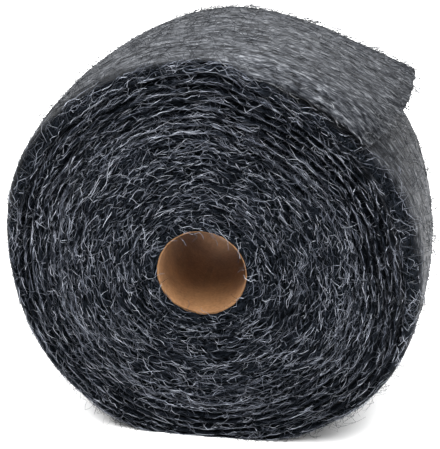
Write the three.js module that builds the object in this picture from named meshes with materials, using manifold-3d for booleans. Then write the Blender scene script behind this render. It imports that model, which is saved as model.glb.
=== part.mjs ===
// A roll of steel wool: one long web of fine steel fibre wound on a cardboard tube.
// Millimetres, +Z up. The roll lies on its side, so its axis runs along Y, and its open end at -Y is the front.
// The origin is the middle of the flat that its own weight presses into the underside.
// Clock angles run clockwise from the top, seen from the front, so 90 degrees is +X.
import * as THREE from "three";
import { mergeVertices } from "three/addons/utils/BufferGeometryUtils.js";
import Module from "manifold-3d";

// Cardboard tube
const TUBE_BORE = 38; // inner diameter
const TUBE_WALL = 1.5;
const TUBE_LENGTH = 101; // 0.3 mm short of the web at each end
const TUBE_SEGMENTS = 48;

// Wound web
const WEB_WIDTH = 101.6;
const WEB_THICKNESS = 3.4; // of one turn
const ROLL_RADIUS = 93.5; // outside of the web at its free end, half way across
const AXIS_HEIGHT = 84; // of the winding's centre: the rest of the radius is pressed flat
const TUBE_SHIFT = new THREE.Vector2(-3.5, -2.8); // the heavy roll hangs off centre round its tube
const GAP = 0.3; // between tube and web, and under the loose end of the web
const ROLL_SEGMENTS = 120;
// Towards each end the outer turns draw in: distance from the end, and how much the radius loses there.
const SHOULDER = [
  { from_end: 0, draws_in: 4 },
  { from_end: 2, draws_in: 2.5 },
  { from_end: 8, draws_in: 1.5 },
  { from_end: 20, draws_in: 0.6 },
  { from_end: 36, draws_in: 0 },
];
// A soft heavy roll is out of round: each bulge is centred on a clock angle and dies out over its spread.
const BULGES = [
  { clock: 122, spread: 50, out: 4.4 },
  { clock: 80, spread: 36, out: 2.2 },
  { clock: -64, spread: 36, out: 3.4 },
  { clock: 200, spread: 60, out: 1.8 },
];
const MIDDLE_STEPS = 4; // between the innermost stations of front and back

// Free tail: the last stretch of the outermost turn, which springs away from the roll
const TAIL_ROOT = 12; // clock angle where it leaves the roll
const TAIL_END = { front: 48.3, middle: 53.5, back: 51.9 }; // clock angles of its cut end, across the web
const TAIL_LIFT = { front: 0.4, back: 14 }; // how far the cut end stands off
const TAIL_CURL = 3; // power by which it rises from root to end: higher stays down longer
const TAIL_SEGMENTS = 18;

const wasm = await Module();
wasm.setup();

const cardboard = new THREE.MeshStandardMaterial({ color: 0xa9825a, roughness: 0.85, metalness: 0 });
const steelWool = new THREE.MeshStandardMaterial({ color: 0x565a63, roughness: 0.55, metalness: 0.7 });

// A point at a clock angle in degrees and a radius, as (x, z) with the winding's centre at (0, 0).
function onClock(degrees, radius) {
  const angle = THREE.MathUtils.degToRad(degrees);
  return new THREE.Vector2(radius * Math.sin(angle), radius * Math.cos(angle));
}

// Outside radius of the web at a clock angle that runs on from turn to turn and ends at the tail's cut end.
function windingRadius(degrees) {
  return ROLL_RADIUS - (WEB_THICKNESS * (TAIL_END.front - degrees)) / 360;
}

// How far the bulges swell the outside at a clock angle.
function outOfRound(degrees) {
  return BULGES.reduce((sum, bulge) => {
    const away = Math.abs(THREE.MathUtils.euclideanModulo(degrees - bulge.clock + 180, 360) - 180);
    return sum + bulge.out * THREE.MathUtils.smoothstep(bulge.spread - away, 0, bulge.spread);
  }, 0);
}

// How much the outer turns draw in at a distance from the nearer end, between the stations of SHOULDER.
function drawnIn(fromEnd) {
  const next = SHOULDER.findIndex((station) => station.from_end > fromEnd);
  if (next < 0) return 0;
  const [a, b] = [SHOULDER[next - 1], SHOULDER[next]];
  const share = (fromEnd - a.from_end) / (b.from_end - a.from_end);
  return THREE.MathUtils.lerp(a.draws_in, b.draws_in, share);
}

function fromEnd(y) {
  return Math.max(0, WEB_WIDTH / 2 - Math.abs(y));
}

function toManifold(geometry) {
  const bare = geometry.clone();
  bare.deleteAttribute("normal");
  bare.deleteAttribute("uv");
  const merged = mergeVertices(bare, 1e-4);
  return new wasm.Manifold(
    new wasm.Mesh({
      numProp: 3,
      vertProperties: merged.attributes.position.array,
      triVerts: new Uint32Array(merged.index.array),
    }),
  );
}

function toGeometry(solid) {
  const mesh = solid.getMesh();
  const geometry = new THREE.BufferGeometry();
  geometry.setAttribute("position", new THREE.BufferAttribute(mesh.vertProperties, 3));
  geometry.setIndex(new THREE.BufferAttribute(mesh.triVerts, 1));
  geometry.computeVertexNormals();
  return geometry;
}

// The tube, turned about its own axis: a closed wall profile, laid along Y.
function cardboardTube() {
  const inner = TUBE_BORE / 2;
  const outer = inner + TUBE_WALL;
  const half = TUBE_LENGTH / 2;
  const wall = [
    new THREE.Vector2(inner, -half),
    new THREE.Vector2(outer, -half),
    new THREE.Vector2(outer, half),
    new THREE.Vector2(inner, half),
    new THREE.Vector2(inner, -half),
  ];
  return new THREE.LatheGeometry(wall, TUBE_SEGMENTS);
}

// The web's outline from the front. It starts in the crevice where the tail leaves the roll, follows the last full
// turn clockwise, runs on over the tail to its cut end and comes back underneath, a gap above the turn below.
function windingOutline() {
  const outside = [];
  for (let i = 0; i <= ROLL_SEGMENTS; i++) {
    const angle = TAIL_ROOT - 360 + (360 * i) / ROLL_SEGMENTS;
    outside.push(onClock(angle, windingRadius(angle) + outOfRound(angle)));
  }
  const over = [];
  const under = [];
  for (let i = 1; i <= TAIL_SEGMENTS; i++) {
    const angle = THREE.MathUtils.lerp(TAIL_ROOT, TAIL_END.front, i / TAIL_SEGMENTS);
    over.push(onClock(angle, windingRadius(angle) + GAP));
    under.unshift(onClock(angle, windingRadius(angle - 360) + GAP));
  }
  const outline = new THREE.Shape([...outside, ...over, ...under]);
  const bore = new THREE.Path();
  bore.absarc(TUBE_SHIFT.x, TUBE_SHIFT.y, TUBE_BORE / 2 + TUBE_WALL + GAP, 0, 2 * Math.PI);
  outline.holes.push(bore);
  return outline;
}

// Bends a point of the straight tail to its place: the cut end runs at a slant across the web, and it rises off
// the roll towards that end, at the back much more than at the front.
function bendTail(point, across) {
  const angle = THREE.MathUtils.radToDeg(Math.atan2(point.x, point.y));
  const along = (angle - TAIL_ROOT) / (TAIL_END.front - TAIL_ROOT);
  const onTail = along > 0.01 && along < 1.01 && point.length() > windingRadius(angle - 360) + GAP / 2;
  if (!onTail) return point;
  const bow = 4 * across * (1 - across) * (TAIL_END.middle - (TAIL_END.front + TAIL_END.back) / 2);
  const end = THREE.MathUtils.lerp(TAIL_END.front, TAIL_END.back, across) + bow;
  const lift = THREE.MathUtils.lerp(TAIL_LIFT.front, TAIL_LIFT.back, across) * along ** TAIL_CURL;
  return onClock(THREE.MathUtils.lerp(TAIL_ROOT, end, along), point.length() + lift);
}

// The wound web: its outline extruded from front to back in uneven steps, closer together near the ends.
function woundWeb() {
  const stations = SHOULDER.map((station) => station.from_end - WEB_WIDTH / 2);
  const between = Array.from({ length: MIDDLE_STEPS - 1 }, (_, i) =>
    THREE.MathUtils.lerp(stations.at(-1), -stations.at(-1), (i + 1) / MIDDLE_STEPS),
  );
  const across = [...stations, ...between, ...stations.map((y) => -y).reverse()];
  const steps = across.length - 1;
  const geometry = new THREE.ExtrudeGeometry(windingOutline(), {
    depth: steps,
    steps,
    bevelEnabled: false,
    curveSegments: TUBE_SEGMENTS / 2,
  });
  const position = geometry.attributes.position;
  for (let i = 0; i < position.count; i++) {
    const y = -across[Math.round(position.getZ(i))];
    const point = bendTail(new THREE.Vector2(position.getX(i), position.getY(i)), y / WEB_WIDTH + 0.5);
    if (point.length() > ROLL_RADIUS / 2) point.setLength(point.length() - drawnIn(fromEnd(y)));
    position.setXYZ(i, point.x, y, point.y + AXIS_HEIGHT);
  }
  return geometry;
}

// What the bench presses away: everything below the flat the roll rests on.
function belowBench() {
  const size = 4 * ROLL_RADIUS;
  return new THREE.BoxGeometry(size, size, size).translate(0, 0, -size / 2);
}

const tube = new THREE.Mesh(cardboardTube(), cardboard);
tube.name = "cardboard_tube";
tube.position.set(TUBE_SHIFT.x, 0, AXIS_HEIGHT + TUBE_SHIFT.y);

const web = new THREE.Mesh(toGeometry(toManifold(woundWeb()).subtract(toManifold(belowBench()))), steelWool);
web.name = "steel_wool_web";

const roll = new THREE.Group();
roll.add(tube, web);

export default roll;
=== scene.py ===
"""A roll of steel wool wound on a cardboard tube, lying on a white bench top.

The roll lies on its side, its axis along Y, with its front end at -Y. Clock angles run clockwise from
the top, seen from the front. Shapes are worked out in millimetres and placed in metres.
"""

import math

import bpy
import numpy as np
from mathutils import Matrix, Vector


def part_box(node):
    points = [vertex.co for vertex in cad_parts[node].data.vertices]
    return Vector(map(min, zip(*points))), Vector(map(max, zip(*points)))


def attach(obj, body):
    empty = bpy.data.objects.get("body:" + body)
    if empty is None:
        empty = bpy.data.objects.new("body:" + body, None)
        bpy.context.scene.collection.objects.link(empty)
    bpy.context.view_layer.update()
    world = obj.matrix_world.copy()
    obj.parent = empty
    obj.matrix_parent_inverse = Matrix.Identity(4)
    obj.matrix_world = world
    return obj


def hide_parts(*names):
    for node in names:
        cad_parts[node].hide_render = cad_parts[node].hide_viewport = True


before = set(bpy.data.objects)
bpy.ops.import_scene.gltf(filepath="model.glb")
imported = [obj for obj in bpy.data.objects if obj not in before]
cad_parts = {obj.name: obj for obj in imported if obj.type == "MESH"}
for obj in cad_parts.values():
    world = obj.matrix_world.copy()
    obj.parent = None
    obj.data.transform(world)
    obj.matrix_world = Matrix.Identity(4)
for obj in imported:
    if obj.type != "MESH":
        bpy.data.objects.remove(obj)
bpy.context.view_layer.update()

MM = 0.001
FULL_TURN = 2 * math.pi


def corners_in_mm(node):
    """The lowest and highest corner of a CAD node, to a thousandth of a millimetre."""
    return [[round(length / MM, 3) for length in corner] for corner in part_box(node)]


tube_low, tube_high = corners_in_mm("cardboard_tube")
web_low, web_high = corners_in_mm("steel_wool_web")

# Cardboard tube: it hangs off the winding's centre, which is at x = 0 and AXIS_HEIGHT
TUBE_X = (tube_low[0] + tube_high[0]) / 2
TUBE_Z = (tube_low[2] + tube_high[2]) / 2
TUBE_RADIUS = (tube_high[0] - tube_low[0]) / 2
GAP = 0.3  # between tube and web

# Wound web
WEB_WIDTH = web_high[1] - web_low[1]
TURN = 3.4  # thickness of one turn
INNER_RADIUS = TUBE_RADIUS + GAP
RIM_RADIUS = 91.0  # of the outside where it meets the ends
BARREL = 2.7  # how much further the outside swells half way across
AXIS_HEIGHT = 84.0
EDGE = 2.6  # rounding where an end meets the outside
SLACK_EDGE = 8.5  # the same where the front's turns are slack
PRESS_SOFTNESS = 0.9  # how gradually the bench flattens the turns

# Lengths along the web's skin. A station is a distance from the front mouth of the tube, out across the
# front end, round the edge, over the outside and down the back end to the other mouth.
ACROSS_END = RIM_RADIUS - EDGE - INNER_RADIUS
ROUND_EDGE = EDGE * math.pi / 2
HALF_OUTSIDE = WEB_WIDTH / 2 - EDGE
HALF_SKIN = ACROSS_END + ROUND_EDGE + HALF_OUTSIDE
WHOLE_SKIN = 2 * HALF_SKIN

# Patches round the roll: clock angle and spread either side in degrees, and size
BULGES = [(122, 50, 4.4), (80, 36, 2.2), (-64, 36, 3.4), (200, 60, 1.8)]  # the soft roll is out of round
SLACK_EDGES = [(75, 55, 1.0), (-62, 42, 0.7)]  # share of the way from EDGE to SLACK_EDGE
PRESSED_EDGE = [(180, 45, 1.2)]  # how much the bench sharpens the edge
SLIPPED_TURNS = [(34, 34, 4.6)]  # how far the turns under the tail's front edge have slipped inwards
GAPING_TURNS = [(70, 60, 1.0)]  # where the outermost turns of the front stand apart
SLIPPED_ACROSS = 18.0  # from the front edge back to where no turn has slipped

# Noise on the wool: size, swings to each radian round the roll, width across it, and seed
STRAYING = [(0.5, 1.6, 18.0, 1), (0.22, 4.5, 7.0, 2)]  # of the crevices from their spiral, in turns
UNEVEN_DEPTH = [(0.8, 2.5, 9.0, 3)]  # of the crevices
BUNDLES = [(0.5, 6.0, 1.3, 4), (0.4, 13.0, 0.75, 5)]  # of fibre within a turn
SWELLS = [(0.9, 1.4, 24.0, 6)]  # of the ends
FELTING = [(0.2, 7.0, 6.0, 7), (0.22, 20.0, 1.1, 8)]  # of the outside
WAVY_RIM = [(0.7, 1.6, 10.0, 9)]
WAVY_LIP = [(0.25, 6.0, 3.0, 10)]  # of the wool that laps over the tube's end
WAVY_MOUTH = [(0.25, 9.0, 2.0, 11)]
NOISE_START = 50  # where the noise is read from; any number would do
BACK_RELIEF = 40.0  # the back's relief is read this much further on, so that it differs from the front's
RIM_PLACE = 5.0  # either side of zero, the noise for the front's rim and for the back's
LIP_PLACE = 7.0

# Crevices between the turns, as seen on the ends
CREVICE_DEPTH = 1.3
OUTER_DEPTH = 1.8  # added in the outer half of an end
GAPING_DEPTH = 1.6  # added again where the turns gape
CREVICE_SHARPNESS = 1.8  # power: higher makes it narrower
TURN_CREST = 0.7  # how far a turn's middle stands out
LAST_CREVICE_DEPTH = 3.6  # of the one inside the outermost turn, where the turns gape
LAST_CREVICE_WIDTH = 1.3
LAST_CREVICE_INSIDE = 1.0  # from the edge of the end

# Lip of wool over the tube's end
LIP_INWARD = 1.2
LIP_ACROSS = 5.0  # how far out across the end it is drawn from
LIP_HEIGHT = 0.45
MOUTH_WIDTH = 4.0  # of the smooth ring of wool round the mouth
LIP_BACK = -1.6  # the web's inner wall starts this far under the skin

# Free tail: the last stretch of the outermost turn, which springs away from the roll
TAIL_START = math.radians(-24)
TAIL_ROOT = math.radians(12)  # where it leaves the roll
TAIL_END_FRONT = math.radians(48.3)
TAIL_END_BACK = math.radians(51.9)
TAIL_END_BOW = math.radians(1.8)
TAIL_END_RAGGED = math.radians(0.5)
TAIL_END_TATTERS = 23  # across its width
TAIL_LIFT_FRONT = 0.6
TAIL_LIFT_BACK = 14.0
TAIL_CURL = 3.0  # power by which it rises: higher stays down longer
TAIL_DROOP = 3.2  # of its front edge
TAIL_DROOP_ACROSS = 15.0
TAIL_DROOP_ALONG = math.radians(30)
TAIL_SUNK = 0.9  # its start lies this far into the roll, so that no edge shows
TAIL_SUNK_ALONG = math.radians(14)
TAIL_LENGTH = RIM_RADIUS * (TAIL_END_FRONT - TAIL_START)
TAIL_WIDTH = WEB_WIDTH - 3.0
TAIL_EDGE = 3.0  # its edges are rounded over this width
TAIL_END_THINNING = 1 / 14  # share of its length
TAIL_THIN_END = 0.45  # thickness left at its cut end, and at its edges, as a share of the whole
TAIL_THIN_EDGE = 0.12
TAIL_FLUFF = [(0.15, 14, 40, 31), (0.22, 40, 110, 32)]  # height, swings along, swings across, seed

LOWEST_FIBRE = 0.05  # no fibre goes through the bench
COLUMNS = 440  # of the web's mesh, round the roll


# ---------------------------------------------------------------- shape of the wool

def smooth(share):
    """Eases a share between 0 and 1 in and out."""
    share = np.clip(share, 0, 1)
    return share * share * (3 - 2 * share)


def mix(a, b, share):
    return a + (b - a) * share


def dice(ix, iy, iz, seed):
    """A repeatable random number between -1 and 1 for every whole-number place, made by scrambling its bits
    with large odd factors."""
    h = (ix * 374761393 + iy * 668265263 + iz * 1440670441 + seed * 1274126177) & 0xFFFFFFFF
    h = ((h ^ (h >> 13)) * 1103515245) & 0xFFFFFFFF
    h = ((h ^ (h >> 15)) * 668265263) & 0xFFFFFFFF
    return (h ^ (h >> 16)) / 2.0**31 - 1.0


def noise(x, y, z, seed):
    """Smooth noise between -1 and 1, one swing to each unit of x, y and z."""
    x, y, z = np.broadcast_arrays(x, y, z)
    cells = [np.floor(v).astype(np.int64) for v in (x, y, z)]
    fx, fy, fz = (smooth(v - c) for v, c in zip((x, y, z), cells))
    total = 0
    for dx in (0, 1):
        for dy in (0, 1):
            for dz in (0, 1):
                weight = (fx if dx else 1 - fx) * (fy if dy else 1 - fy) * (fz if dz else 1 - fz)
                total = total + weight * dice(cells[0] + dx, cells[1] + dy, cells[2] + dz, seed)
    return total


def round_noise(clock, across, layers):
    """A sum of noise layers, each of which closes on itself round the roll."""
    total = 0
    for size, swings, width, seed in layers:
        x = swings * np.cos(clock) + NOISE_START
        y = swings * np.sin(clock) + NOISE_START
        total = total + size * noise(x, y, across / width + NOISE_START, seed)
    return total


def patches(clock, places):
    """A sum of patches, each full at its clock angle and falling smoothly to 0 within its spread."""
    total = 0
    for middle, spread, size in places:
        away = np.abs((clock - math.radians(middle) + math.pi) % FULL_TURN - math.pi)
        total = total + size * smooth(1 - away / math.radians(spread))
    return total


def from_mouth(station):
    """The distance along the skin from the nearer mouth of the tube."""
    return np.minimum(station, WHOLE_SKIN - station)


def outer_turn(clock):
    """How far the outermost turn lies inside the rim: one turn's spiral, stepping under the tail."""
    step_share = 0.03
    after = (clock - TAIL_ROOT) % FULL_TURN / FULL_TURN
    spiral = TURN * (1 - after)
    step = smooth((after - (1 - step_share)) / step_share)
    return mix(spiral, TURN, step)


def slip_under_tail(clock, side, inward):
    """The turns under the tail's front edge have slipped inwards and leave a gap."""
    near_front = np.where(side < 0, 1 - smooth(inward * HALF_OUTSIDE / SLIPPED_ACROSS), 0)
    return near_front * patches(clock, SLIPPED_TURNS)


def edge_rounding(clock, side):
    """The edge is rounded wide where the front's turns are slack, and pressed sharp on the bench."""
    slack = np.where(side < 0, patches(clock, SLACK_EDGES), 0)
    return EDGE + (SLACK_EDGE - EDGE) * slack - patches(clock, PRESSED_EDGE)


def turns_on_end(clock, s, gaping, place):
    """The rounded edges of the turns, side by side, with a crevice after each."""
    phase = s / TURN + round_noise(clock, place, STRAYING) - clock / FULL_TURN
    crevice = np.abs(2 * (phase % 1.0) - 1) ** CREVICE_SHARPNESS
    outer = smooth((s - 0.5 * ACROSS_END) / (0.45 * ACROSS_END))
    depth = CREVICE_DEPTH + round_noise(clock, place, UNEVEN_DEPTH)
    depth = depth + (OUTER_DEPTH + GAPING_DEPTH * gaping) * outer
    from_last = (s - ACROSS_END + LAST_CREVICE_INSIDE) / LAST_CREVICE_WIDTH
    last_crevice = LAST_CREVICE_DEPTH * gaping * np.exp(-(from_last**2))
    return TURN_CREST - depth * crevice - last_crevice


def skin_height(clock, station):
    """How far the wool stands out of its smooth skin."""
    s = from_mouth(station)
    on_front = station < HALF_SKIN
    place = s + np.where(on_front, 0.0, BACK_RELIEF)
    gaping = patches(clock, GAPING_TURNS) * np.where(on_front, 1, 0)
    turns = turns_on_end(clock, s, gaping, place)
    packed = turns + round_noise(clock, place, BUNDLES) + round_noise(clock, place, SWELLS)
    felted = round_noise(clock, station, FELTING)
    on_end = smooth((ACROSS_END + 3.0 - s) / 6.0)  # changes over 6 mm at the edge
    at_mouth = smooth(1 - s / MOUTH_WIDTH)
    lip = LIP_HEIGHT + round_noise(clock, place, WAVY_MOUTH)
    return mix(mix(felted, packed, on_end), lip, at_mouth)


def lip_over_tube(clock, side, s, height):
    """How far the wool at the mouth is drawn inwards over the tube's end. What lies deeper stays back."""
    proud = np.clip((height + 0.9) / 1.2, 0, 1)  # none 0.9 mm under the skin, all of it 0.3 mm above
    return proud * smooth(1 - s / LIP_ACROSS) * (LIP_INWARD + round_noise(clock, side * LIP_PLACE, WAVY_LIP))


def triples(x, y, z):
    """Three arrays of coordinates as one array of points."""
    return np.stack(np.broadcast_arrays(x, y, z), -1)


def press(z):
    """The bench flattens whatever would reach below it."""
    return PRESS_SOFTNESS * np.logaddexp(0, z / PRESS_SOFTNESS)


def skin(clock, station, height):
    """Points of the wound web, a height above its smooth skin."""
    side = np.where(station < HALF_SKIN, -1.0, 1.0)
    s = from_mouth(station)
    share = np.clip(s / ACROSS_END, -0.08, 1)  # a fibre may reach a little over the mouth
    turned = np.clip((s - ACROSS_END) / ROUND_EDGE, 0, 1) * math.pi / 2
    inward = np.clip((s - ACROSS_END - ROUND_EDGE) / HALF_OUTSIDE, 0, 1)
    edge = edge_rounding(clock, side)
    rim = RIM_RADIUS - outer_turn(clock) + patches(clock, BULGES) - slip_under_tail(clock, side, inward)
    rim = rim + (1 - smooth(inward)) * round_noise(clock, side * RIM_PLACE, WAVY_RIM)
    barrel = BARREL * (1 - (1 - inward) ** 2)
    radius = mix(INNER_RADIUS, rim - edge, share) + (edge + height) * np.sin(turned) + barrel
    radius = radius - lip_over_tube(clock, side, s, height)
    depth = edge - (edge + height) * np.cos(turned) + inward * (WEB_WIDTH / 2 - edge)
    x = TUBE_X * (1 - share) + radius * np.sin(clock)
    y = side * (WEB_WIDTH / 2 - depth)
    z = mix(TUBE_Z, AXIS_HEIGHT, share) + radius * np.cos(clock)
    return triples(x, y, press(z))


def tail_sheet(along, across, outward):
    """Points of the free tail: along and across it from 0 to 1, and outward from its middle layer."""
    bow = 4 * across * (1 - across) * TAIL_END_BOW
    ragged = TAIL_END_RAGGED * noise(across * TAIL_END_TATTERS, 0, 0, 21)
    end = mix(TAIL_END_FRONT, TAIL_END_BACK, across) + bow + ragged
    clock = mix(TAIL_START, end, along)
    risen = np.maximum((clock - TAIL_ROOT) / (end - TAIL_ROOT), 0)
    lift = mix(TAIL_LIFT_FRONT, TAIL_LIFT_BACK, across) * risen**TAIL_CURL
    from_start = clock - TAIL_START
    sunk = TAIL_SUNK * smooth(1 - from_start / TAIL_SUNK_ALONG)
    near_front = smooth(1 - across * WEB_WIDTH / TAIL_DROOP_ACROSS)
    droop = TAIL_DROOP * near_front * smooth(from_start / TAIL_DROOP_ALONG)
    spiral = TURN * (TAIL_END_FRONT - clock) / FULL_TURN
    barrel = BARREL * (1 - (2 * across - 1) ** 2)
    radius = RIM_RADIUS - TURN / 2 - spiral + barrel + lift - sunk - droop + outward
    y = (across - 0.5) * TAIL_WIDTH
    return triples(radius * np.sin(clock), y, AXIS_HEIGHT + radius * np.cos(clock))


# ---------------------------------------------------------------- meshes

def mesh_piece(name, points, faces, material, smoothed=True):
    """A new piece from points in millimetres and lists of corners."""
    mesh = bpy.data.meshes.new(name)
    mesh.from_pydata((np.asarray(points) * MM).tolist(), [], faces)
    mesh.polygons.foreach_set("use_smooth", np.full(len(mesh.polygons), smoothed))
    mesh.materials.append(material)
    piece = bpy.data.objects.new(name, mesh)
    bpy.context.collection.objects.link(piece)
    return piece


def grid_faces(rows, columns, closed_rows):
    """Quads of a grid whose columns close round, and whose rows may close too."""
    row = np.arange(rows if closed_rows else rows - 1)[:, None]
    column = np.arange(columns)[None, :]
    next_row = (row + 1) % rows
    next_column = (column + 1) % columns
    corners = [
        row * columns + column,
        row * columns + next_column,
        next_row * columns + next_column,
        next_row * columns + column,
    ]
    return np.stack(np.broadcast_arrays(*corners), -1).reshape(-1, 4)


def web_half(name, side, end_rows, edge_rows, outside_rows, material):
    """One half of the wound web, front or back, as a closed ring cut through the middle of the roll."""
    stations = np.concatenate([
        np.linspace(0, ACROSS_END, end_rows, endpoint=False),
        np.linspace(ACROSS_END, ACROSS_END + ROUND_EDGE, edge_rows, endpoint=False),
        np.linspace(ACROSS_END + ROUND_EDGE, HALF_SKIN, outside_rows),
    ])
    if side > 0:
        stations = WHOLE_SKIN - stations
    clock = np.linspace(0, FULL_TURN, COLUMNS, endpoint=False)[None, :]
    station = stations[:, None]
    outside = skin(clock, station, skin_height(clock, station))
    inner_edge = skin(clock, station[:1], LIP_BACK)
    inner_middle = inner_edge.copy()
    inner_middle[..., 1] = 0
    points = np.concatenate([outside, inner_middle, inner_edge])
    faces = grid_faces(len(points), COLUMNS, True)
    if side > 0:
        faces = faces[:, ::-1]
    return mesh_piece(name, points.reshape(-1, 3), faces.tolist(), material)


def tail_body(name, rows_along, rows_across, material):
    """The tail as a closed slab that thins out towards its cut end and its two edges."""
    across = np.linspace(0, 1, rows_across)
    loop_across = np.concatenate([across, across[::-1]])
    loop_side = np.concatenate([np.ones(rows_across), -np.ones(rows_across)])
    along = np.linspace(0, 1, rows_along)[:, None]
    to_edge = np.minimum(loop_across, 1 - loop_across) * TAIL_WIDTH
    edge = np.sqrt(np.clip(1 - (1 - np.clip(to_edge / TAIL_EDGE, 0, 1)) ** 2, 0, 1))
    end = mix(TAIL_THIN_END, 1.0, smooth((1 - along) / TAIL_END_THINNING))
    half = TURN / 2 * mix(TAIL_THIN_EDGE, 1.0, edge) * end
    fluff = 0
    for height, swings_along, swings_across, seed in TAIL_FLUFF:
        layer = noise(along * swings_along, loop_across * swings_across, loop_side * 3, seed)
        fluff = fluff + height * layer
    points = tail_sheet(along, loop_across[None, :], loop_side * (half + fluff))
    size = len(loop_across)
    faces = grid_faces(rows_along, size, False)[:, ::-1].tolist()
    first_cap = list(range(size))
    last_cap = list(range(rows_along * size - 1, (rows_along - 1) * size - 1, -1))
    return mesh_piece(name, points.reshape(-1, 3), faces + [first_cap, last_cap], material)


def strands(name, paths, width, random, material):
    """Fibres as closed three-sided shavings, tapered at both ends. Paths has shape (fibres, points, 3)."""
    count, steps = paths.shape[:2]
    tangent = np.gradient(paths, axis=1)
    tangent /= np.linalg.norm(tangent, axis=-1, keepdims=True) + 1e-9
    lean = random.normal(size=(count, 1, 3))
    side = np.cross(tangent, lean)
    side /= np.linalg.norm(side, axis=-1, keepdims=True) + 1e-9
    up = np.cross(tangent, side)
    swell = np.sin(np.linspace(0.12, math.pi - 0.12, steps)) ** 0.5
    taper = 0.35 + 0.65 * swell  # rather over half its width is left at its tips
    radius = (width[:, None] * taper / 2)[..., None, None]
    turn = np.arange(3) * FULL_TURN / 3
    ring = side[:, :, None, :] * np.cos(turn)[:, None] + up[:, :, None, :] * np.sin(turn)[:, None]
    points = paths[:, :, None, :] + radius * ring
    points[..., 2] = np.maximum(points[..., 2], LOWEST_FIBRE)
    base = (np.arange(count) * steps * 3)[:, None, None]
    step = np.arange(steps - 1)[None, :, None] * 3
    corner = np.arange(3)[None, None, :]
    following = (corner + 1) % 3
    quads = np.stack([
        base + step + corner,
        base + step + following,
        base + step + 3 + following,
        base + step + 3 + corner,
    ], -1).reshape(-1, 4)
    first = base[:, 0] + np.array([[2, 1, 0]])
    last = base[:, 0] + (steps - 1) * 3 + np.array([[0, 1, 2]])
    faces = quads.tolist() + first.tolist() + last.tolist()
    return mesh_piece(name, points.reshape(-1, 3), faces, material, smoothed=False)


def wandering(random, count, steps, length, heading, waviness):
    """Fibre paths on a flat skin: distance run round the roll and distance moved across it. Each bends in
    three waves of its own, the shorter ones a little weaker."""
    t = np.linspace(0, 1, steps)[None, :]
    angle = heading[:, None]
    for waves in (1, 2, 3):
        size = waviness[:, None] * random.normal(size=(count, 1)) / waves**0.4
        shift = random.uniform(0, FULL_TURN, (count, 1))
        angle = angle + size * np.sin(waves * math.pi * t * 1.3 + shift)
    step = length[:, None] / (steps - 1)
    run = np.cumsum(step * np.cos(angle), axis=1)
    across = np.cumsum(step * np.sin(angle), axis=1)
    return run - run[:, :1], across - across[:, :1]


def skin_fibres(name, seed, count, stations, length, width, spread, loose, material, steps):
    """Fibres lying on the wound web. Stations, length and width are ranges, spread is how far their
    headings differ from straight round the roll, and loose is how far they stand off."""
    wild_share = 0.2  # of the fibres: these head further off and are much wavier
    wild_spread = 1.0
    wild_waviness = 0.9
    calm_waviness = 0.28
    embedded = 0.12  # how deep a fibre's lowest stretch lies in the wool
    random = np.random.default_rng(seed)
    station = random.uniform(*stations, 4 * count)
    radius = np.clip(INNER_RADIUS + from_mouth(station), INNER_RADIUS, RIM_RADIUS)
    kept = random.uniform(0, RIM_RADIUS, 4 * count) < radius  # evens them out over the area
    station, radius = station[kept][:count], radius[kept][:count]
    clock = random.uniform(0, FULL_TURN, count)
    size = random.uniform(*length, count)
    wild = random.uniform(size=count) < wild_share
    heading = random.normal(0, spread, count)
    heading = heading + np.where(wild, random.normal(0, wild_spread, count), 0)
    waviness = np.where(wild, wild_waviness, calm_waviness) * random.uniform(0.5, 1.4, count)
    run, across = wandering(random, count, steps, size, heading, waviness)
    clock = clock[:, None] + run / radius[:, None]
    station = station[:, None] + across
    t = np.linspace(0, 1, steps)[None, :]
    stand = random.uniform(0.1, 1.0, (count, 1)) * loose
    dips = random.uniform(0.4, 1.0, (count, 1))
    wave = 0.5 + 0.5 * np.sin(FULL_TURN * (dips * t + random.uniform(size=(count, 1))))
    paths = skin(clock, station, skin_height(clock, station) + stand * wave - embedded)
    return strands(name, paths, random.uniform(*width, count), random, material)


def fuzz(name, seed, count, stations, material):
    """Short fibre ends that stand up out of the web between two stations and bend over either way."""
    steps = 5
    rooted = 0.2  # below the wool's surface
    shortest = 1.8
    longest = 8.8
    random = np.random.default_rng(seed)
    station = random.uniform(*stations, (count, 1))
    clock = random.uniform(0, FULL_TURN, (count, 1))
    size = shortest + np.minimum(random.exponential(2.5, (count, 1)), longest - shortest)
    heading = random.normal(0, 0.9, (count, 1))
    heading = heading + np.where(random.uniform(size=(count, 1)) < 0.5, math.pi, 0)
    t = np.linspace(0, 1, steps)[None, :]
    turn = heading + random.normal(0, 1.6, (count, 1)) * t
    run = size * t * np.cos(turn)
    across = size * t * np.sin(turn)
    steepness = random.uniform(0.4, 1.1, (count, 1))
    bend = random.uniform(0.7, 1.7, (count, 1))
    rise = size * steepness * np.sin(math.pi / 2 * t * bend)
    clock = clock + run / RIM_RADIUS
    station = station + across
    paths = skin(clock, station, skin_height(clock, station) - rooted + rise)
    return strands(name, paths, random.uniform(0.1, 0.2, count), random, material)


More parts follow.
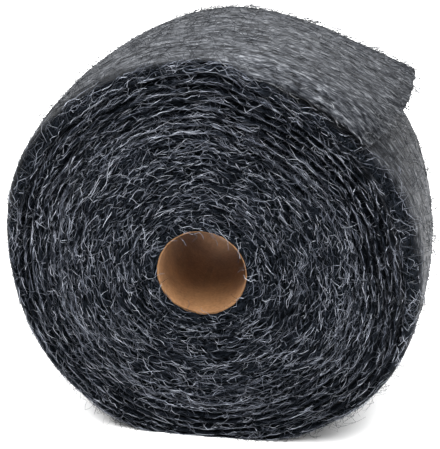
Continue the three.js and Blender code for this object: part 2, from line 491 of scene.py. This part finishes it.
def tail_fibres(name, seed, groups, steps, material):
    """Fibres on the free tail. Each group is (count, along, across, length, heading, stand): ranges, but
    for count and the middle heading. Stand is how far they stand off."""
    embedded = 0.1
    random = np.random.default_rng(seed)
    t = np.linspace(0, 1, steps)[None, :]
    paths = []
    for count, along, across, length, heading, stand in groups:
        waviness = random.uniform(0.2, 0.7, count)
        angle = random.normal(heading, 0.3, count)
        size = random.uniform(*length, count)
        run, drift = wandering(random, count, steps, size, angle, waviness)
        u = random.uniform(*along, (count, 1)) + run / TAIL_LENGTH
        v = random.uniform(*across, (count, 1)) + drift / WEB_WIDTH
        stand_off = random.uniform(*stand, (count, 1))
        off = stand_off * np.sin(t * math.pi * random.uniform(0.45, 1.0, (count, 1)))
        inside = smooth(np.minimum(v, 1 - v) * WEB_WIDTH / TAIL_EDGE)
        paths.append(tail_sheet(u, v, (TURN / 2 - embedded) * inside + off))
    paths = np.concatenate(paths)
    width = random.uniform(0.12, 0.26, len(paths))
    return strands(name, paths, width, random, material)


# ---------------------------------------------------------------- materials

def linear(colour):
    """An sRGB hex colour as linear red, green, blue and alpha."""
    channels = [(colour >> shift & 255) / 255 for shift in (16, 8, 0)]
    return [c / 12.92 if c <= 0.04045 else ((c + 0.055) / 1.055) ** 2.4 for c in channels] + [1.0]


def add(tree, kind, inputs=(), stops=(), **settings):
    """Adds a node with its settings. Inputs gives each socket's value, or the socket it is linked from,
    and stops gives a colour ramp's positions and sRGB hex colours."""
    node = tree.nodes.new(kind)
    for name, value in settings.items():
        setattr(node, name, value)
    for socket, value in dict(inputs).items():
        if isinstance(value, bpy.types.NodeSocket):
            tree.links.new(value, node.inputs[socket])
        else:
            node.inputs[socket].default_value = value
    for _ in stops[2:]:
        node.color_ramp.elements.new(0.5)
    for index, (position, colour) in enumerate(stops):
        node.color_ramp.elements[index].position = position
        node.color_ramp.elements[index].color = linear(colour)
    return node


def new_material(name):
    """A material with an empty node tree."""
    material = bpy.data.materials.new(name)
    material.use_nodes = True
    tree = material.node_tree
    tree.nodes.clear()
    return material, tree


def round_the_roll(tree, spacing, length, shift):
    """Where a point lies among the wound fibres: spacing across them is one unit, and so is length along
    them. It has four coordinates, and the fourth comes apart from the vector."""
    place = add(tree, "ShaderNodeTexCoord").outputs["Object"]
    axis = {0: place, 1: (0, 0, -AXIS_HEIGHT * MM)}
    about_axis = add(tree, "ShaderNodeVectorMath", axis, operation="ADD")
    split = add(tree, "ShaderNodeSeparateXYZ", {0: about_axis.outputs[0]})
    x, y, z = split.outputs
    flat = add(tree, "ShaderNodeCombineXYZ", {"X": x, "Y": z})
    radius = add(tree, "ShaderNodeVectorMath", {0: flat.outputs[0]}, operation="LENGTH").outputs["Value"]
    along = 1 / (length * MM)
    across = 1 / (spacing * MM)
    sideways = add(tree, "ShaderNodeMath", {0: x, 1: along}, operation="MULTIPLY")
    upwards = add(tree, "ShaderNodeMath", {0: z, 1: along}, operation="MULTIPLY")
    through = add(tree, "ShaderNodeMath", {0: radius, 1: across, 2: shift}, operation="MULTIPLY_ADD")
    to_back = add(tree, "ShaderNodeMath", {0: y, 1: across, 2: shift}, operation="MULTIPLY_ADD")
    parts = {"X": sideways.outputs[0], "Y": upwards.outputs[0], "Z": through.outputs[0]}
    return add(tree, "ShaderNodeCombineXYZ", parts).outputs[0], to_back.outputs[0]


def fibre_grain(tree, spacing, length, shift):
    """A grain that runs with the fibres, about 0.5 on average."""
    vector, fourth = round_the_roll(tree, spacing, length, shift)
    inputs = {"Vector": vector, "W": fourth, "Scale": 1.0}
    inputs |= {"Detail": 3.0, "Roughness": 0.65, "Distortion": 0.3}
    return add(tree, "ShaderNodeTexNoise", inputs, noise_dimensions="4D").outputs[0]


def thin_lines(tree, grain):
    """Thin bright lines on a dark ground, 0 to 1, where the grain is half way up."""
    centred = add(tree, "ShaderNodeMath", {0: grain, 1: 0.5}, operation="SUBTRACT").outputs[0]
    away = add(tree, "ShaderNodeMath", {0: centred}, operation="ABSOLUTE").outputs[0]
    limits = {"Value": away, "From Min": 0.0, "From Max": 0.07, "To Min": 1.0, "To Max": 0.0}
    return add(tree, "ShaderNodeMapRange", limits).outputs[0]


def packed_wool(name, paint_shade_on_ends):
    """Low carbon steel shaved into fine wool and wound tight: dull grey lines of fibre over painted shade in
    the gaps between them. The outside is felted smooth and light. Where the ends of the turns are open,
    painted shade darkens them further, standing in for the light they swallow."""
    material, tree = new_material(name)
    # Real fibres are under 0.1 mm thick. A grain 0.9 and 1.7 mm wide is drawn in their place, so it shows.
    fine = fibre_grain(tree, spacing=0.9, length=3.5, shift=3.0)
    broad = fibre_grain(tree, spacing=1.7, length=6.0, shift=11.0)
    both = {"Factor": 0.45, "A": fine, "B": broad}
    felt = add(tree, "ShaderNodeMix", both, data_type="FLOAT").outputs[0]
    # The dark low end of these tones is painted shade in the gaps between the fibres.
    tones = [(0.4, 0x08090B), (0.47, 0x25272B), (0.54, 0x404246), (0.62, 0x6C6E72)]
    colour = add(tree, "ShaderNodeValToRGB", {"Fac": felt}, tones).outputs["Color"]
    if paint_shade_on_ends:
        colour = with_painted_end_shade(tree, colour, fine, broad)
    bump = add(tree, "ShaderNodeBump", {"Height": felt, "Strength": 1.0, "Distance": 0.5 * MM})
    finish = {"Base Color": colour, "Metallic": 1.0, "Roughness": 0.65, "Normal": bump.outputs[0]}
    shader = add(tree, "ShaderNodeBsdfPrincipled", finish)
    add(tree, "ShaderNodeOutputMaterial", {"Surface": shader.outputs[0]})
    return material


def with_painted_end_shade(tree, felted, fine, broad):
    """Lays painted shade over the felted tone where the turns' ends are open, at the roll's front and back.
    """
    crossing = {0: thin_lines(tree, fine), 1: thin_lines(tree, broad)}
    lines = add(tree, "ShaderNodeMath", crossing, operation="MAXIMUM").outputs[0]
    # These tones are painted shade: near black, with thin lines of fibre a little lighter.
    tones = [(0.0, 0x010202), (0.5, 0x030406), (1.0, 0x1D2127)]
    painted_end_shade = add(tree, "ShaderNodeValToRGB", {"Fac": lines}, tones).outputs["Color"]
    place = add(tree, "ShaderNodeTexCoord").outputs["Object"]
    x, y, _ = add(tree, "ShaderNodeSeparateXYZ", {0: place}).outputs
    # On the left of the front the painted shade reaches further across the outside, where the edges of the
    # outer turns stand open.
    left = {"Value": x, "From Min": -15 * MM, "From Max": -65 * MM, "To Min": 0.0, "To Max": 12 * MM}
    further = add(tree, "ShaderNodeMapRange", left, interpolation_type="SMOOTHSTEP").outputs[0]
    to_front = {0: y, 1: -1.0, 2: further}
    to_front = add(tree, "ShaderNodeMath", to_front, operation="MULTIPLY_ADD").outputs[0]
    to_end = add(tree, "ShaderNodeMath", {0: to_front, 1: y}, operation="MAXIMUM").outputs[0]
    # The felted outside gives way to the painted shade of the open ends from 5 mm to 1 mm before the end.
    limits = {"Value": to_end, "From Min": (WEB_WIDTH / 2 - 5) * MM, "From Max": (WEB_WIDTH / 2 - 1) * MM}
    end_shade_share = add(tree, "ShaderNodeMapRange", limits, interpolation_type="SMOOTHSTEP").outputs[0]
    factor, first_colour, second_colour, mixed_colour = 0, 6, 7, 2  # sockets of a colour mix
    colours = {factor: end_shade_share, first_colour: felted, second_colour: painted_end_shade}
    return add(tree, "ShaderNodeMix", colours, data_type="RGBA").outputs[mixed_colour]


def loose_fibre(name, tones, roughness):
    """Shavings of low carbon steel: three sided and dull. Each has a tone of its own, painted light and
    shade as if it turned its own way to the light."""
    material, tree = new_material(name)
    place = add(tree, "ShaderNodeTexCoord").outputs["Object"]
    # Each shaving's own tone is painted light and shade.
    each = add(tree, "ShaderNodeNewGeometry").outputs["Random Per Island"]
    # Along its length a shaving turns a little lighter and darker, about every 3 mm.
    patchy = {"Vector": place, "Scale": 1 / (3 * MM), "Detail": 1.0}
    patchy = add(tree, "ShaderNodeTexNoise", patchy).outputs[0]
    both = {"Factor": 0.35, "A": each, "B": patchy}
    tone = add(tree, "ShaderNodeMix", both, data_type="FLOAT").outputs[0]
    colour = add(tree, "ShaderNodeValToRGB", {"Fac": tone}, tones).outputs["Color"]
    finish = {"Base Color": colour, "Metallic": 1.0, "Roughness": roughness}
    shader = add(tree, "ShaderNodeBsdfPrincipled", finish)
    add(tree, "ShaderNodeOutputMaterial", {"Surface": shader.outputs[0]})
    return material


def kraft_board():
    """Spirally wound kraft board: plain brown paper, matt and faintly fibrous."""
    material, tree = new_material("kraft_board")
    place = add(tree, "ShaderNodeTexCoord").outputs["Object"]
    # Pulp fibres are about 1.2 mm long; they gather in clouds about 14 mm wide.
    pulp = {"Vector": place, "Scale": 1 / (1.2 * MM), "Detail": 4.0}
    pulp = add(tree, "ShaderNodeTexNoise", pulp).outputs[0]
    clouds = {"Vector": place, "Scale": 1 / (14 * MM), "Detail": 2.0}
    clouds = add(tree, "ShaderNodeTexNoise", clouds).outputs[0]
    both = add(tree, "ShaderNodeMath", {0: pulp, 1: clouds}, operation="ADD").outputs[0]
    average = add(tree, "ShaderNodeMath", {0: both, 1: 0.5}, operation="MULTIPLY").outputs[0]
    tones = [(0.35, 0x735031), (0.65, 0x946D47)]
    colour = add(tree, "ShaderNodeValToRGB", {"Fac": average}, tones).outputs["Color"]
    bump = add(tree, "ShaderNodeBump", {"Height": pulp, "Strength": 0.5, "Distance": 0.1 * MM})
    finish = {"Base Color": colour, "Roughness": 0.85, "Normal": bump.outputs[0]}
    shader = add(tree, "ShaderNodeBsdfPrincipled", finish)
    add(tree, "ShaderNodeOutputMaterial", {"Surface": shader.outputs[0]})
    return material


def bench_paint():
    """White painted board, matt."""
    material, tree = new_material("bench_paint")
    finish = {"Base Color": linear(0xFAFAFA), "Roughness": 0.9, "Specular IOR Level": 0.1}
    shader = add(tree, "ShaderNodeBsdfPrincipled", finish)
    add(tree, "ShaderNodeOutputMaterial", {"Surface": shader.outputs[0]})
    return material


# ---------------------------------------------------------------- stage

def place_camera():
    """The camera stands in front of the roll, a little to its right, and looks down on it."""
    azimuth = math.radians(8.95)
    elevation = math.radians(22.58)
    tilt = math.radians(0.155)
    target = Vector((-3.64, 0, 82.96)) * MM
    distance = 575.4 * MM
    back = Vector((
        math.sin(azimuth) * math.cos(elevation),
        -math.cos(azimuth) * math.cos(elevation),
        math.sin(elevation),
    ))
    data = bpy.data.cameras.new("camera")
    data.sensor_width = 36.0
    data.lens = 98.8
    data.clip_end = 20.0
    camera = bpy.data.objects.new("camera", data)
    bpy.context.collection.objects.link(camera)
    place = Matrix.Translation(target + distance * back)
    turn = back.to_track_quat("Z", "Y").to_matrix().to_4x4()
    camera.matrix_world = place @ turn @ Matrix.Rotation(tilt, 4, "Z")
    bpy.context.scene.camera = camera


def softbox(name, place, aim, size, power):
    """A rectangular lamp at a place in metres, turned to face its aim; power in watts."""
    data = bpy.data.lights.new(name, "AREA")
    data.shape = "RECTANGLE"
    data.size, data.size_y = size
    data.energy = power
    light = bpy.data.objects.new(name, data)
    light.location = place
    light.rotation_euler = (Vector(place) - Vector(aim)).to_track_quat("Z", "Y").to_euler()
    bpy.context.collection.objects.link(light)


def studio_world():
    """Even white light from all round, and colours shown as they are."""
    world = bpy.data.worlds.new("studio")
    world.use_nodes = True
    background = world.node_tree.nodes["Background"]
    background.inputs["Color"].default_value = linear(0xFFFFFF)
    background.inputs["Strength"].default_value = 0.85
    bpy.context.scene.world = world
    bpy.context.scene.view_settings.view_transform = "Standard"


def bench_top():
    """A white bench top, a hair below the roll so that the two don't share a plane."""
    reach = 4000
    level = -0.05
    corners = [(-reach, -reach), (reach, -reach), (reach, reach), (-reach, reach)]
    points = [(x, y, level) for x, y in corners]
    return mesh_piece("bench_top", points, [[0, 1, 2, 3]], bench_paint())


# ---------------------------------------------------------------- build

# The web's halves carry painted shade on their ends; the tail's wool is the same wool without it.
END_SHADED_WOOL = packed_wool("steel_wool_painted_shade_at_ends", paint_shade_on_ends=True)
FLAT_WOOL = packed_wool("felted_steel_wool", paint_shade_on_ends=False)
FIBRE = loose_fibre(
    "steel_fibre",
    tones=[(0.15, 0x07080A), (0.36, 0x3F434C), (0.62, 0x6E727C), (0.85, 0x9DA1AA)],
    roughness=0.42,
)
FELT_FIBRE = loose_fibre(
    "felted_steel_fibre",
    tones=[(0.1, 0x101216), (0.5, 0x37393D), (0.9, 0x7A7C7F)],
    roughness=0.5,
)
STRAY_FIBRE = loose_fibre(
    "stray_steel_fibre",
    tones=[(0.1, 0x101114), (0.5, 0x2A2C30), (0.9, 0x515357)],
    roughness=0.5,
)

FRONT_RIM = ACROSS_END  # stations where the two ends meet the outside
BACK_RIM = WHOLE_SKIN - ACROSS_END

# Fibres on the tail: count, along, across, length, heading, stand
FELTED_ON_TAIL = [
    (850, (0.05, 0.95), (0.02, 0.98), (4, 9), 0, (0.0, 0.4)),  # over the whole of it
    (260, (0.93, 1.0), (0.0, 1.0), (2, 7), 0, (-0.5, 1.5)),  # at its cut end
    (160, (0.0, 1.0), (0.0, 0.03), (3, 8), -0.15, (-0.9, 0.5)),  # along its front edge
    (220, (0.0, 1.0), (0.96, 1.0), (3, 9), 0.35, (-0.8, 3.2)),  # along its back edge
]
STRAY_ON_TAIL = [
    (260, (0.0, 1.0), (0.1, 0.95), (2, 7), 0.5, (0.6, 3.4)),  # over the whole of it
    (320, (0.0, 1.0), (0.93, 1.0), (3, 8), 0.5, (0.0, 3.8)),  # along its back edge
]

front = web_half(
    "front_half_of_web", side=-1, end_rows=132, edge_rows=8, outside_rows=30, material=END_SHADED_WOOL
)
wool = [
    front,
    web_half(
        "back_half_of_web", side=1, end_rows=60, edge_rows=6, outside_rows=24, material=END_SHADED_WOOL
    ),
    tail_body("free_tail", rows_along=90, rows_across=70, material=FLAT_WOOL),
    skin_fibres(
        "front_fibres_inner", seed=11, count=4300, stations=(0.2, 0.72 * FRONT_RIM),
        length=(4, 12), width=(0.13, 0.25), spread=0.34, loose=1.1, material=FIBRE, steps=7,
    ),
    skin_fibres(
        "front_fibres_outer", seed=12, count=4500, stations=(0.6 * FRONT_RIM, FRONT_RIM + 3),
        length=(5, 14), width=(0.13, 0.25), spread=0.24, loose=1.1, material=FIBRE, steps=7,
    ),
    skin_fibres(
        "outside_fibres", seed=13, count=2600, stations=(FRONT_RIM + 3, BACK_RIM - 3),
        length=(4, 10), width=(0.18, 0.34), spread=0.3, loose=0.35, material=FELT_FIBRE, steps=6,
    ),
    skin_fibres(
        "back_fibres", seed=14, count=3300, stations=(BACK_RIM - 3, WHOLE_SKIN),
        length=(5, 14), width=(0.22, 0.45), spread=0.25, loose=1.1, material=FIBRE, steps=5,
    ),
    fuzz("fuzz", seed=15, count=4600, stations=(FRONT_RIM + 5, BACK_RIM + 8), material=STRAY_FIBRE),
    fuzz("rim_fuzz", seed=18, count=600, stations=(FRONT_RIM, FRONT_RIM + 6), material=STRAY_FIBRE),
    tail_fibres("tail_fibres", seed=16, groups=FELTED_ON_TAIL, steps=7, material=FELT_FIBRE),
    tail_fibres("tail_fuzz", seed=17, groups=STRAY_ON_TAIL, steps=6, material=STRAY_FIBRE),
]

for piece in wool:
    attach(piece, "root")
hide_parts("steel_wool_web")

tube = bpy.data.objects["cardboard_tube"]
tube.data.materials.clear()
tube.data.materials.append(kraft_board())

studio_world()
floor = bench_top()
softbox("overhead", place=(-0.1, 0.15, 1.6), aim=(0, 0, 0.08), size=(3.0, 3.0), power=185)
place_camera()
